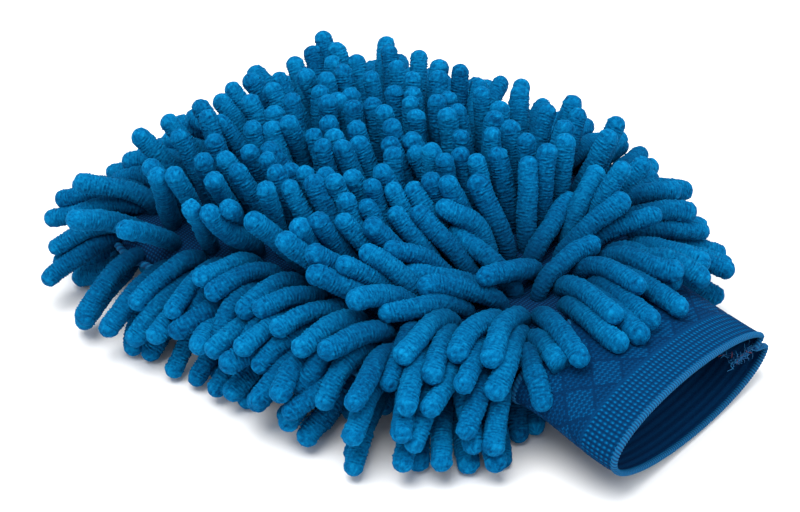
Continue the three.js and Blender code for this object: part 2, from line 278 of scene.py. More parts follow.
def edge_line(inset, side, start_y):
    """Line round the mitt at `inset` in from the sewn edge, from the left heel to the right one."""
    y = np.linspace(start_y, CORNER_Y, 120)
    slope = np.gradient(half_width_at(y), y)
    out = np.stack([np.ones_like(y), -slope], 1) / np.hypot(1, slope)[:, None]
    right = np.stack([half_width_at(y), y], 1) - inset * out
    angle = np.radians(np.linspace(0, 90, 60))
    radius = CORNER_RADIUS - inset
    turn = np.stack([CORNER_X + radius * np.cos(angle), CORNER_Y + radius * np.sin(angle)], 1)
    half = np.concatenate([right, turn[1:]])
    plan = np.concatenate([half * [-1, 1], half[::-1]])
    z = height_at(plan[:, 0], plan[:, 1], side)
    return np.column_stack([plan, z])


def stretch_of(x, y):
    """Which sewn stretch of the edge a root belongs to."""
    if y > CORNER_Y and abs(x) < CORNER_X:
        return "fingertips"
    hand = "left" if x < 0 else "right"
    if y > CORNER_Y:
        return f"{hand}_corner"
    return f"{hand}_side" if y > WIDEST_Y else f"{hand}_heel"


def pile_roots():
    """(root, side, CAD node, tier) for every finger."""
    roots = []
    rows = sorted(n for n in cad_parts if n.startswith("palm_pile_row_"))
    row_y = np.array([sum(box_mm(n)[k][1] for k in (0, 1)) / 2 for n in rows])
    crown_y = row_y - HEEL_SHIFT * np.clip(1 - np.arange(len(rows)) / 3, 0, 1)
    for x, distance, *_ in PLACED_FINGERS:
        y = MOUTH_Y + distance
        row = rows[int(np.argmin(np.abs(row_y - y)))].replace("palm", "back")
        roots.append((np.array([x, y, float(height_at(x, y, 1))]), 1, row, "placed"))
    taken = np.array([r[0] for r in roots])
    for index, (y, palm_row) in enumerate(zip(row_y, rows)):
        back_row = palm_row.replace("palm", "back")
        for p in row_roots(crown_y[index], 1, CROWN_MARGIN, index):
            if np.linalg.norm(taken - p, axis=1).min() > PLACED_CLEARANCE:
                roots.append((p, 1, back_row, "back"))
        roots += [(p, -1, palm_row, "palm") for p in row_roots(y, -1, PALM_MARGIN, index)]
    tiers = [
        ("shoulder", "upper_edge_pile", 10.0, 1, BODY_Y + 8),
        ("upper", "upper_edge_pile", 5.0, 1, BODY_Y + 4),
        ("rim", "middle_edge_pile", 0.8, 1, BODY_Y + 3),
        ("hem", "middle_edge_pile", 0.8, -1, BODY_Y + 3),
        ("lower", "lower_edge_pile", 6.0, -1, BODY_Y + 4),
    ]
    for index, (tier, node, inset, side, start_y) in enumerate(tiers):
        line = edge_line(inset, side, start_y)
        for p in along_line(line, EDGE_PITCH[tier], 0.25 if index % 2 else -0.25):
            if np.linalg.norm(taken - p, axis=1).min() > PLACED_CLEARANCE:
                roots.append((p, side, f"{node}_{stretch_of(p[0], p[1])}", tier))
    return roots


# ---- Lie of the pile ----

def groomed_chords(points):
    """Unit chords of fingers rooted at these plan points, blended from the nearest groomed ones."""
    places, chords = [], []
    for distance, row in GROOM.items():
        for x, *chord in row:
            places.append((x, MOUTH_Y + distance))
            chords.append(chord)
    places, chords = np.array(places, float), np.array(chords, float)
    chords /= np.linalg.norm(chords, axis=1, keepdims=True)
    gap = np.linalg.norm(points[:, None, :2] - places[None], axis=2)
    weight = 1 / (gap**2 + 6.0) ** 2
    blended = weight @ chords
    return blended / np.linalg.norm(blended, axis=1, keepdims=True)


def slow_wander(x, y, rng):
    """A slow wander of the pile's lie over the whole mitt, as plan vectors."""
    wander = np.zeros((len(x), 3))
    for wavelength, size in ((95.0, 0.05), (48.0, 0.06), (26.0, 0.07)):
        for axis in range(2):
            turn = rng.uniform(0, math.pi)
            phase = rng.uniform(0, 2 * math.pi)
            along = (x * math.cos(turn) + y * math.sin(turn)) * 2 * math.pi / wavelength
            wander[:, axis] += size * np.sin(along + phase)
    return wander


# How far the fingers of each tier rise as they stand out from the edge, and how much they sag.
TIER_RISE = {"shoulder": 0.6, "upper": 0.32, "rim": 0.05, "hem": -0.32, "lower": -0.62}
TIER_SAG = {"back": 0.28, "placed": 0.3, "palm": 0.1, "shoulder": 0.7, "upper": 0.8, "rim": 0.7, "hem": 0.4}
TIER_SAG["lower"] = 0.2
# How far they follow the groomed lie of the back instead of pointing straight out.
TIER_GROOMED = {"shoulder": 0.6, "upper": 0.45, "rim": 0.3, "hem": 0.15, "lower": 0.0}
TIER_LENGTH = {"shoulder": 0.93, "hem": 1.0, "lower": 0.96}
# The left fingertip corner, where every tier droops: x, distance from the tips, reach and droop.
DROOP = (-62.0, 10.0, 36.0, 0.5)


def outward_of(x, y):
    """Plan unit vectors that point straight out of the nearest sewn edge."""
    step = 0.5
    dx = edge_distance(x + step, y) - edge_distance(x - step, y)
    dy = edge_distance(x, y + step) - edge_distance(x, y - step)
    out = -np.stack([dx, dy, np.zeros_like(dx)], 1)
    return out / (np.linalg.norm(out, axis=1, keepdims=True) + 1e-9)


def aim_fingers(roots, normals, tiers, rng):
    """Unit chord of each finger, from its root towards its tip."""
    x, y = roots[:, 0], roots[:, 1]
    outward = outward_of(x, y)
    groomed = groomed_chords(roots)
    radial = np.stack([x / HALF_WIDTH, (y + 40) / TIP_Y, np.zeros_like(x)], 1)
    palm_chords = -normals + 2.4 * radial
    palm_chords = np.stack([palm_chords[:, 0], palm_chords[:, 1], np.full_like(x, -0.45)], 1)
    centre_x, from_tips, reach, droop = DROOP
    droop = droop * np.exp(-((x - centre_x) ** 2 + (y - TIP_Y + from_tips) ** 2) / reach**2)
    chords = np.zeros_like(roots)
    for index, tier in enumerate(tiers):
        if tier == "placed":
            chord = np.array(PLACED_FINGERS[index][2:], float)
            chords[index] = chord / np.linalg.norm(chord)
        elif tier == "back":
            chords[index] = groomed[index]
        elif tier == "palm":
            chords[index] = palm_chords[index]
        else:
            heel = np.clip(1 - (y[index] - BODY_Y) / HEEL_REACH, 0, 1)
            level = outward[index] + [0, -1.1 * heel, TIER_RISE[tier] - 0.2 * heel - droop[index]]
            share = TIER_GROOMED[tier]
            pull = groomed[index] * [1, 1, 0.4]
            chords[index] = (1 - share) * level + share * pull
    upright = np.clip(chords[:, 2:] / np.linalg.norm(chords, axis=1, keepdims=True), 0, 1)
    jitter = rng.normal(0, 0.09, chords.shape) * (1 - 0.45 * upright)
    chords /= np.linalg.norm(chords, axis=1, keepdims=True)
    chords += slow_wander(x, y, rng) * (1 - 0.6 * upright) + jitter
    return chords / np.linalg.norm(chords, axis=1, keepdims=True)


def resting_chains(roots, normals, chords, lengths, tiers, rng):
    """Each finger's own curve before it meets its neighbours: it leaves the fabric, arches over
    to its chord and sags towards its tip."""
    steps = (np.arange(CHAIN) / (CHAIN - 1))[None, :, None]
    start = normals * 0.75 + chords * 0.55
    ease = np.clip(steps / 0.45, 0, 1)
    ease = ease * ease * (3 - 2 * ease)
    curl = rng.normal(0, 0.13, (len(tiers), 1, 3))
    heading = start[:, None] * (1 - ease) + chords[:, None] * ease + steps * curl
    sag = np.array([TIER_SAG[t] for t in tiers]) * rng.uniform(0.5, 1.4, len(tiers))
    level = np.linalg.norm(chords[:, :2], axis=1)
    heading[:, :, 2] -= (sag * level)[:, None] * steps[..., 0] ** 1.4 * 1.5
    heading /= np.linalg.norm(heading, axis=2, keepdims=True)
    segment = (lengths - FINGER_RADIUS) / (CHAIN - 1)
    moves = heading[:, :-1] * segment[:, None, None]
    return np.concatenate([roots[:, None], roots[:, None] + np.cumsum(moves, axis=1)], axis=1)


# ---- Settling ----

# A finger's middle line stays this far above the floor, so that its ribs only touch it, in mm.
FLOOR_CLEARANCE = 4.4


def close_pairs(points, owner, reach):
    """Pairs of points on different fingers that lie within reach of each other."""
    points = points.astype(np.float32)
    square = np.sum(points**2, axis=1)
    first, second = [], []
    for start in range(0, len(points), 1024):
        block = points[start : start + 1024]
        gap = square[start : start + 1024, None] + square[None] - 2 * block @ points.T
        i, j = np.nonzero(gap < reach**2)
        i += start
        keep = (i < j) & (owner[i] != owner[j])
        first.append(i[keep])
        second.append(j[keep])
    return np.concatenate(first), np.concatenate(second)


def push_apart(points, pairs, spacing):
    i, j = pairs
    gap = points[i] - points[j]
    distance = np.linalg.norm(gap, axis=1) + 1e-6
    overlap = np.maximum(spacing - distance, 0)
    push = gap / distance[:, None] * (0.5 * overlap)[:, None]
    count = np.bincount(i, overlap > 0, len(points)) + np.bincount(j, overlap > 0, len(points))
    share = 1.4 / np.maximum(count, 1.4)
    for axis in range(3):
        total = np.bincount(i, push[:, axis], len(points)) - np.bincount(j, push[:, axis], len(points))
        points[:, axis] += total * share


def keep_off_fabric(points, sides, radius):
    """Fingers lie on the panels and the cuff, never in them, and never below the floor."""
    inside = edge_distance(points[:, 0], points[:, 1]) > 0
    top = height_at(points[:, 0], points[:, 1], 1) + radius
    bottom = height_at(points[:, 0], points[:, 1], -1) - radius
    over = inside & (sides > 0)
    under = inside & (sides < 0)
    points[over, 2] = np.maximum(points[over, 2], top[over])
    points[under, 2] = np.minimum(points[under, 2], bottom[under])
    points[:, 2] = np.maximum(points[:, 2], FLOOR_CLEARANCE)


def settle(chains, sides):
    """Relaxes the fingers against each other, the fabric and the floor, holding their length."""
    count = len(chains)
    rest = chains.copy()
    lengths = np.linalg.norm(np.diff(chains, axis=1), axis=2)
    owner = np.repeat(np.arange(count), CHAIN)
    point_sides = np.repeat(sides, CHAIN)
    hold = 0.05 * (1 - 0.6 * np.arange(CHAIN) / (CHAIN - 1))
    for step in range(RELAX_STEPS):
        flat = chains.reshape(-1, 3)
        if step % 10 == 0:
            pairs = close_pairs(flat, owner, 2 * FINGER_RADIUS + 4)
        push_apart(flat, pairs, 1.93 * FINGER_RADIUS)
        chains += (rest - chains) * hold[None, :, None]
        keep_off_fabric(flat, point_sides, 0.95 * FINGER_RADIUS)
        smooth = chains.copy()
        smooth[:, 1:-1] = (chains[:, :-2] + chains[:, 2:]) / 2
        chains[:, 2:-1] += 0.35 * (smooth[:, 2:-1] - chains[:, 2:-1])
        chains[:, 0] = rest[:, 0]
        chains[:, 1] += 0.5 * (rest[:, 1] - chains[:, 1])
        for k in range(1, CHAIN):
            link = chains[:, k] - chains[:, k - 1]
            link *= (lengths[:, k - 1] / (np.linalg.norm(link, axis=1) + 1e-9))[:, None]
            chains[:, k] = chains[:, k - 1] + link
    return chains


# ---- Skins of the fingers ----


def centreline(chains, stations):
    """Points of a Catmull-Rom curve through each chain at `stations`, counted in links."""
    padded = np.concatenate(
        [2 * chains[:, :1] - chains[:, 1:2], chains, 2 * chains[:, -1:] - chains[:, -2:-1]], axis=1
    )
    link = np.clip(stations.astype(int), 0, CHAIN - 2)
    t = (stations - link)[None, :, None]
    a, b, c, d = (padded[:, link + k] for k in range(4))
    bend = 2 * a - 5 * b + 4 * c - d
    return 0.5 * (2 * b + (c - a) * t + bend * t**2 + (3 * b - a - 3 * c + d) * t**3)


def transported_frames(tangents):
    """Two axes across each centreline that follow it without twisting."""
    rings = tangents.shape[1]
    helper = np.where(np.abs(tangents[:, 0, 2:3]) < 0.9, [[0.0, 0.0, 1.0]], [[1.0, 0.0, 0.0]])
    across = np.empty_like(tangents)
    current = np.cross(tangents[:, 0], helper)
    for ring in range(rings):
        current = current - tangents[:, ring] * np.sum(current * tangents[:, ring], axis=1, keepdims=True)
        current /= np.linalg.norm(current, axis=1, keepdims=True)
        across[:, ring] = current
    return across, np.cross(tangents, across)


def rib_pattern(distance, angle, count, rng):
    """Short wavy ridges of chenille across each finger, from about -1 in a groove to 1."""
    shape = (count, 1, 1)

    def phase():
        return rng.uniform(0, 2 * math.pi, shape)

    s, a = distance[:, :, None], angle[None, None, :]
    pitch = rng.uniform(0.92, 1.1, shape) * RIB_PITCH
    wave = 2 * math.pi * s / pitch + phase()
    for turns, size, drift in ((1, 1.0, 0.5), (2, 0.9, -0.9), (3, 0.7, 1.4), (5, 0.5, -2.1), (8, 0.4, 2.9)):
        wave = wave + size * np.sin(turns * a + drift * s + phase())
    strength = 0.4 + 0.3 * np.sin(2 * a - 0.9 * s + phase()) + 0.3 * np.sin(5 * a + 1.7 * s + phase())
    tufts = np.sin(7 * a + 2.6 * s + phase()) * np.sin(2 * math.pi * s / 1.9 - 4 * a + phase())
    return strength * np.sin(wave) + 0.45 * tufts


def finger_skins(chains, radii, rng):
    """Vertices, and rib, along and tint values, for every finger: arrays of finger x ring x side."""
    count = len(chains)
    link = np.linalg.norm(chains[:, 1] - chains[:, 0], axis=1)
    body = np.linspace(0, CHAIN - 1, int(FINGER_LENGTH / RING_STEP))
    cap = np.radians(np.linspace(0, 84, 7))[1:]
    line = centreline(chains, body)
    tangent = np.gradient(line, axis=1)
    tangent /= np.linalg.norm(tangent, axis=2, keepdims=True)
    reach = np.sin(cap)[None, :, None] * radii[:, None, None]
    line = np.concatenate([line, line[:, -1:] + tangent[:, -1:] * reach], axis=1)
    tangent = np.concatenate([tangent, np.repeat(tangent[:, -1:], len(cap), axis=1)], axis=1)
    across, up = transported_frames(tangent)

    distance = np.concatenate(
        [body[None] * link[:, None], (CHAIN - 1) * link[:, None] + reach[:, :, 0]], axis=1
    )
    share = distance / distance[:, -1:]
    profile = np.concatenate([np.ones(len(body)), np.cos(cap)])
    waist = 0.78 + 0.18 * np.clip(share / 0.22, 0, 1) ** 0.7 + 0.06 * np.clip(share, 0, 1) ** 3
    swell = 1 + 0.05 * np.sin(share * 5 + rng.uniform(0, 6.3, (count, 1)))
    radius = radii[:, None] * profile[None] * waist * swell
    angle = np.arange(SIDES) * 2 * math.pi / SIDES
    ribs = rib_pattern(distance, angle, count, rng)
    fade = np.concatenate([np.ones(len(body)), np.cos(cap) ** 0.5])[None, :, None]
    turn = rng.uniform(0, 6.3, (count, 1, 1))
    lumps = 0.13 * np.sin(angle[None, None] + 0.35 * distance[:, :, None] + turn)
    grain = rng.normal(0, 1.0, ribs.shape)
    grain = 0.5 * grain + 0.35 * (np.roll(grain, 1, axis=1) + np.roll(grain, 1, axis=2))
    ribs = ribs + 0.6 * grain
    relief = (RIB_HEIGHT * ribs + lumps) * fade
    radial = radius[:, :, None] + relief
    vertices = (
        line[:, :, None]
        + across[:, :, None] * (radial * np.cos(angle))[..., None]
        + up[:, :, None] * (radial * np.sin(angle))[..., None]
    )
    tips = line[:, -1] + tangent[:, -1] * (radii * 0.03)[:, None]
    return vertices, tips, ribs, np.repeat(share[:, :, None], SIDES, axis=2)


def skin_faces(rings):
    """Quads of one finger's skin, its closed root and its tip. Vertex order: rings, then root, tip."""
    ring, side = np.meshgrid(np.arange(rings - 1), np.arange(SIDES), indexing="ij")
    turn = (side + 1) % SIDES
    a = ring * SIDES + side
    b = ring * SIDES + turn
    quads = np.stack([a, b, b + SIDES, a + SIDES], -1).reshape(-1, 4)
    sides = np.arange(SIDES)
    turn = (sides + 1) % SIDES
    root, tip = rings * SIDES, rings * SIDES + 1
    last = (rings - 1) * SIDES
    root_fan = np.stack([turn, sides, np.full(SIDES, root)], 1)
    tip_fan = np.stack([last + sides, last + turn, np.full(SIDES, tip)], 1)
    return quads, np.concatenate([root_fan, tip_fan])


# ---- Mesh making ----


def make_object(name, vertices, faces, material, attributes=None, smooth=True):
    """A mesh object from millimetre points and faces, with point attributes for its material."""
    mesh = bpy.data.meshes.new(name)
    counts = np.concatenate([np.full(len(f), f.shape[1], np.int32) for f in faces])
    loops = np.concatenate([f.ravel() for f in faces]).astype(np.int32)
    mesh.vertices.add(len(vertices))
    mesh.vertices.foreach_set("co", (np.asarray(vertices) * MM).astype(np.float32).ravel())
    mesh.loops.add(len(loops))
    mesh.loops.foreach_set("vertex_index", loops)
    mesh.polygons.add(len(counts))
    mesh.polygons.foreach_set("loop_start", np.r_[0, np.cumsum(counts)[:-1]].astype(np.int32))
    mesh.polygons.foreach_set("loop_total", counts)
    mesh.update(calc_edges=True)
    mesh.validate()
    for key, values in (attributes or {}).items():
        layer = mesh.attributes.new(key, "FLOAT", "POINT")
        layer.data.foreach_set("value", np.asarray(values, np.float32).ravel())
    mesh.polygons.foreach_set("use_smooth", np.full(len(mesh.polygons), smooth))
    mesh.materials.append(material)
    obj = bpy.data.objects.new(name, mesh)
    bpy.context.scene.collection.objects.link(obj)
    return obj


def place(obj, slot, *nodes):
    """The piece rides on the mitt's one body and stands for those CAD nodes."""
    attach(obj, "root")
    if nodes:
        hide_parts(*nodes)
    return obj


def grid_faces(rows, columns, closed=False):
    """Quads of a grid of points whose index is row * columns + column."""
    spans = columns if closed else columns - 1
    row, column = np.meshgrid(np.arange(rows - 1), np.arange(spans), indexing="ij")
    there = (column + 1) % columns
    this, after = row * columns, (row + 1) * columns
    corners = [this + column, this + there, after + there, after + column]
    return np.stack(corners, -1).reshape(-1, 4)


def closing_faces(rows, columns):
    """Quads that join the last row of a closed grid of points to its first."""
    column = np.arange(columns)
    there = (column + 1) % columns
    last = (rows - 1) * columns
    return np.stack([last + column, last + there, there, column], 1)


# ---- Materials ----


class Nodes:
    """Short ways to add and join the nodes of one material."""

    def __init__(self, name):
        self.material = bpy.data.materials.new(name)
        self.material.use_nodes = True
        self.tree = self.material.node_tree
        self.shader = self.tree.nodes["Principled BSDF"]

    def add(self, kind, inputs=None, **settings):
        node = self.tree.nodes.new(kind)
        for key, value in settings.items():
            setattr(node, key, value)
        for key, value in (inputs or {}).items():
            self.set(node.inputs[key], value)
        return node

    def set(self, socket, value):
        if isinstance(value, bpy.types.NodeSocket):
            self.tree.links.new(value, socket)
        else:
            socket.default_value = value

    def attribute(self, name):
        return self.add("ShaderNodeAttribute", attribute_name=name).outputs["Fac"]

    def math(self, operation, a, b=0.0, clamp=False):
        node = self.add("ShaderNodeMath", operation=operation, use_clamp=clamp)
        self.set(node.inputs[0], a)
        self.set(node.inputs[1], b)
        return node.outputs[0]

    def noise(self, scale, detail=2.0, roughness=0.5):
        coordinates = self.add("ShaderNodeTexCoord").outputs["Object"]
        inputs = {"Vector": coordinates, "Scale": scale, "Detail": detail, "Roughness": roughness}
        return self.add("ShaderNodeTexNoise", inputs).outputs["Fac"]

    def ramp(self, factor, stops):
        node = self.add("ShaderNodeValToRGB")
        self.set(node.inputs["Fac"], factor)
        elements = node.color_ramp.elements
        while len(elements) < len(stops):
            elements.new(0.5)
        for element, (position, colour) in zip(elements, stops):
            element.position = position
            element.color = (*colour, 1)
        return node.outputs["Color"]

    def mix(self, factor, a, b, blend="MIX"):
        node = self.add("ShaderNodeMix", data_type="RGBA", blend_type=blend)
        self.set(node.inputs["Factor"], factor)
        self.set(node.inputs[6], a if isinstance(a, bpy.types.NodeSocket) else (*a, 1))
        self.set(node.inputs[7], b if isinstance(b, bpy.types.NodeSocket) else (*b, 1))
        return node.outputs[2]

    def bump(self, height, strength, distance):
        inputs = {"Height": height, "Strength": strength, "Distance": distance}
        normal = self.add("ShaderNodeBump", inputs).outputs["Normal"]
        self.tree.links.new(normal, self.shader.inputs["Normal"])

    def finish(self, colour, roughness, **sockets):
        self.set(self.shader.inputs["Base Color"], colour)
        self.set(self.shader.inputs["Roughness"], roughness)
        for key, value in sockets.items():
            self.shader.inputs[key.replace("_", " ")].default_value = value
        return self.material


def chenille():
    """Fluffy microfibre with painted shade: brighter on the ridges and towards the tips, deep blue in the
    grooves between the ribs and towards the roots.
    """
    n = Nodes("chenille_pile")
    fibre = n.noise(1300.0, 3.0, 0.7)
    patch = n.noise(90.0, 2.0)
    # Painted shade and highlight: the rib value lightens each ridge and darkens the grooves between the
    # ribs.
    shade = n.math("ADD", n.math("MULTIPLY", n.attribute("rib"), 0.24), 0.5)
    shade = n.math("ADD", shade, n.math("MULTIPLY", n.math("SUBTRACT", fibre, 0.5), 0.9))
    shade = n.math("ADD", shade, n.math("MULTIPLY", n.math("SUBTRACT", patch, 0.5), 0.3))
    shade = n.math("ADD", shade, n.math("MULTIPLY", n.attribute("tint"), 0.1))
    stops = [(0.08, (0.0, 0.036, 0.118)), (0.5, (0.0, 0.112, 0.29)), (0.95, (0.002, 0.225, 0.5))]
    colour = n.ramp(shade, stops)
    # Painted shade: the colour darkens towards each finger's root, down among its crowded neighbours, and
    # the tips keep the full colour.
    root = n.math("POWER", n.attribute("along"), 0.8, clamp=True)
    colour = n.mix(root, (0.0, 0.016, 0.052), colour)
    n.bump(fibre, 0.8, 0.0006)
    return n.finish(
        colour,
        0.95,
        Specular_IOR_Level=0.04,
        Sheen_Weight=0.1,
        Sheen_Roughness=0.5,
        Sheen_Tint=(0.0, 0.45, 1.0, 1.0),
    )


def ground_knit():
    """Fine dark knit that the pile is tufted into."""
    n = Nodes("ground_fabric")
    place_at = n.add("ShaderNodeTexCoord").outputs["Object"]
    wave = {"Vector": place_at, "Scale": 330.0, "Distortion": 0.6}
    courses = n.add("ShaderNodeTexWave", wave, bands_direction="X")
    wave = {"Vector": place_at, "Scale": 240.0, "Distortion": 0.8}
    wales = n.add("ShaderNodeTexWave", wave, bands_direction="Y")
    knit = n.math("MULTIPLY", courses.outputs["Fac"], wales.outputs["Fac"])
    colour = n.ramp(knit, [(0.0, (0.0, 0.01, 0.04)), (0.7, (0.0, 0.042, 0.13))])
    n.bump(knit, 0.6, 0.0005)
    return n.finish(colour, 0.9, Specular_IOR_Level=0.08)


def cuff_knit():
    """Elastic jacquard knit: its loops are lighter than the ground between them."""
    n = Nodes("cuff_knit")
    loops = n.attribute("loops")
    fibre = n.noise(2600.0, 3.0, 0.65)
    shade = n.math("ADD", loops, n.math("MULTIPLY", n.math("SUBTRACT", fibre, 0.5), 0.45))
    stops = [(0.0, (0.0, 0.01, 0.042)), (0.4, (0.0, 0.044, 0.14)), (1.0, (0.001, 0.16, 0.38))]
    colour = n.ramp(shade, stops)
    n.bump(n.math("ADD", fibre, loops), 0.5, 0.0004)
    return n.finish(colour, 0.85, Specular_IOR_Level=0.04)


def seam_thread():
    """Twisted polyester yarn."""
    n = Nodes("seam_thread")
    strand = n.attribute("strand")
    fibre = n.noise(2500.0, 2.0, 0.6)
    shade = n.math("ADD", strand, n.math("MULTIPLY", n.math("SUBTRACT", fibre, 0.5), 0.4))
    colour = n.ramp(shade, [(0.0, (0.0, 0.03, 0.11)), (1.0, (0.001, 0.125, 0.3))])
    n.bump(n.math("ADD", strand, fibre), 0.4, 0.0003)
    return n.finish(colour, 0.75, Specular_IOR_Level=0.15)


def loose_fibre():
    """Cut ends of the cuff's threads: blue, with a few stray reddish ones."""
    n = Nodes("loose_fibre")
    shade = n.math("ADD", n.attribute("tint"), n.math("MULTIPLY", n.noise(1800.0), 0.3))
    blue = n.ramp(shade, [(0.0, (0.0, 0.06, 0.2)), (1.0, (0.01, 0.2, 0.46))])
    colour = n.mix(n.attribute("stray"), blue, (0.22, 0.05, 0.06))
    return n.finish(colour, 0.8, Specular_IOR_Level=0.25, Sheen_Weight=0.08)


def pale_floor():
    n = Nodes("pale_floor")
    colour = n.ramp(n.noise(6.0, 2.0), [(0.3, (0.9, 0.905, 0.91)), (0.7, (0.915, 0.92, 0.925))])
    return n.finish(colour, 0.9, Specular_IOR_Level=0.1)


# ---- Pile ----


def build_pile(material):
    rng = np.random.default_rng(SEED)
    entries = pile_roots()
    roots = np.array([e[0] for e in entries])
    sides = np.array([e[1] for e in entries])
    nodes = np.array([e[2] for e in entries])
    tiers = [e[3] for e in entries]
    shuffle = rng.uniform(-1.3, 1.3, roots.shape) * [1, 1, 0]
    normals = np.array([surface_normal(p[0], p[1], s) for p, s in zip(roots, sides)])
    lengths = FINGER_LENGTH * rng.uniform(0.95, 1.05, len(roots))
    lengths *= [TIER_LENGTH.get(t, 1.0) for t in tiers]
    palm = np.array([t == "palm" for t in tiers])
    lengths[palm] = PALM_FINGER_LENGTH * rng.uniform(0.94, 1.06, palm.sum())
    chords = aim_fingers(roots, normals, tiers, rng)
    level = np.linalg.norm(chords[:, :2], axis=1)
    radii = (FINGER_RADIUS + FLUFF * (level - 0.5)) * rng.uniform(0.94, 1.06, len(roots))
    sunk = pulled(roots + shuffle) - normals * 0.8
    chains = settle(resting_chains(sunk, normals, chords, lengths, tiers, rng), sides)
    vertices, tips, ribs, along = finger_skins(chains, radii, rng)
    tints = rng.uniform(-1, 1, len(roots))
    for node in sorted(set(nodes)):
        chosen = np.flatnonzero(nodes == node)
        piece = pile_piece(node, chains, vertices, tips, ribs, along, tints, chosen, material)
        place(piece, "chenille_pile", node)


def pile_piece(node, chains, vertices, tips, ribs, along, tints, chosen, material):
    """One object holding the fingers that are tufted along one row."""
    rings = vertices.shape[1]
    quads, fans = skin_faces(rings)
    size = rings * SIDES + 2
    points, all_quads, all_fans, values = [], [], [], {"rib": [], "along": [], "tint": []}
    for k, finger in enumerate(chosen):
        skin = vertices[finger].reshape(-1, 3)
        points.append(np.concatenate([skin, chains[finger, :1], tips[finger][None]]))
        all_quads.append(quads + k * size)
        all_fans.append(fans + k * size)
        values["rib"].append(np.r_[ribs[finger].ravel(), 0, 0])
        values["along"].append(np.r_[along[finger].ravel(), 0, 1])
        values["tint"].append(np.full(size, tints[finger]))
    attributes = {key: np.concatenate(value) for key, value in values.items()}
    faces = [np.concatenate(all_quads), np.concatenate(all_fans)]
    return make_object(f"{node}_fingers", np.concatenate(points), faces, material, attributes)


# ---- Ground fabric ----


def build_panel(name, node, side, material):
    """One panel of ground fabric, as a single sheet that follows the CAD panel's outer face."""
    across = np.sin(np.radians(np.linspace(-90, 90, 61)))
    corner = CORNER_Y + CORNER_RADIUS * np.sin(np.radians(np.linspace(6, 90, 15)))
    y = np.r_[np.linspace(BODY_Y, CORNER_Y, 60), corner]
    x = across[None, :] * half_width_at(y)[:, None]
    yy = np.repeat(y[:, None], len(across), axis=1)
    z = height_at(x, yy, side) + side * 0.1
    points = pulled(np.stack([x, yy, z], -1))
    faces = grid_faces(len(y), len(across))
    if side < 0:
        faces = faces[:, ::-1]
    obj = make_object(name, points.reshape(-1, 3), [faces], material)
    solid = obj.modifiers.new("cloth_thickness", "SOLIDIFY")
    solid.thickness = FABRIC * MM
    solid.offset = -1
    place(obj, "ground_fabric", node)
    return obj


# ---- Cuff ----


def cuff_outline(angle, distance, outset):
    """Wall points for angles round the cuff at distances in from the mouth: rows x angles x 3."""
    distance = np.atleast_1d(np.asarray(distance, float))[:, None]
    outset = np.broadcast_to(np.atleast_1d(np.asarray(outset, float))[:, None], distance.shape)
    section = section_at(MOUTH_Y + distance.ravel())
    half, top, bottom, shoulder, middle = (section[:, k : k + 1] for k in range(5))
    side = np.where(np.sin(angle) >= 0, 1.0, -1.0)[None]
    x = np.cos(angle)[None] * (half + outset)
    t = np.clip((half + outset - np.abs(x)) / (shoulder + outset), 0, 1)
    rise = np.where(side > 0, top, bottom) + outset
    z = middle + side * rise * np.sqrt(1 - (1 - t) ** 2)
    near_mouth = np.clip(1 - distance / CUFF_LENGTH, 0, 1)
    z = z - (MOUTH_SHEAR * x + MOUTH_DROP) * near_mouth
    turn = (angle - NOTCH["angle"] + math.pi) % (2 * math.pi) - math.pi
    dent = NOTCH["depth"] * np.exp(-((turn / NOTCH["spread"]) ** 2))[None]
    x = x * (1 + MOUTH_FLARE * near_mouth) - dent * np.clip(1 - distance / NOTCH["length"], 0, 1)
    y = np.broadcast_to(MOUTH_Y + distance, x.shape)
    return np.stack([x, y, z], -1)


def knit_relief(around, distance):
    """Depth in mm that the outer face is sunk by, and lightness, of the jacquard, for lengths round
    the cuff and from its mouth. The lighter loops lie deeper than the ground between them."""
    u, v = around, distance
    dots = (0.5 + 0.5 * np.cos(2 * math.pi * u / DOT_PITCH[0])) ** 1.3
    dots = dots * (0.5 + 0.5 * np.cos(2 * math.pi * v / DOT_PITCH[1])) ** 1.1
    columns = 0.5 + 0.5 * np.cos(2 * math.pi * u / DOT_PITCH[0])
    shift = np.where(np.floor(v / FINE_PITCH) % 2 > 0, 0.5, 0.0)
    fine = (0.5 + 0.5 * np.cos(2 * math.pi * (u / FINE_PITCH + shift))) ** 1.2
    fine = fine * (0.5 + 0.5 * np.cos(2 * math.pi * v / FINE_PITCH))
    rising = u / DIAMOND[0] + v / DIAMOND[1]
    falling = u / DIAMOND[0] - v / DIAMOND[1]
    groove = np.maximum(np.abs(rising % 1 - 0.5), np.abs(falling % 1 - 0.5)) > 0.45
    raised = (np.floor(rising) + np.floor(falling)) % 2 > 0
    field = np.where(groove, 0.13, fine * np.where(raised, 0.62, 0.45) + np.where(raised, 0.16, 0.1))
    line = np.exp(-(((v - DOT_ZONE - 0.8) / 0.45) ** 2))
    band = v < DOT_ZONE
    loops = np.where(band, 0.1 + 0.75 * dots + 0.12 * columns, field) * (1 - line) + 0.3 * line
    depth = np.where(band, 0.34 * dots + 0.1 * columns, 0.3 * field) + 0.12 * line
    return depth, loops


def wall_normals(points):
    """Unit normals that point out of the cuff's wall, for its grid of rows x angles."""
    around = np.roll(points, -1, axis=1) - np.roll(points, 1, axis=1)
    along = np.gradient(points, axis=0)
    normal = np.cross(around, along)
    normal = normal / (np.linalg.norm(normal, axis=2, keepdims=True) + 1e-9)
    return normal * np.sign(normal[0, 0, 0])


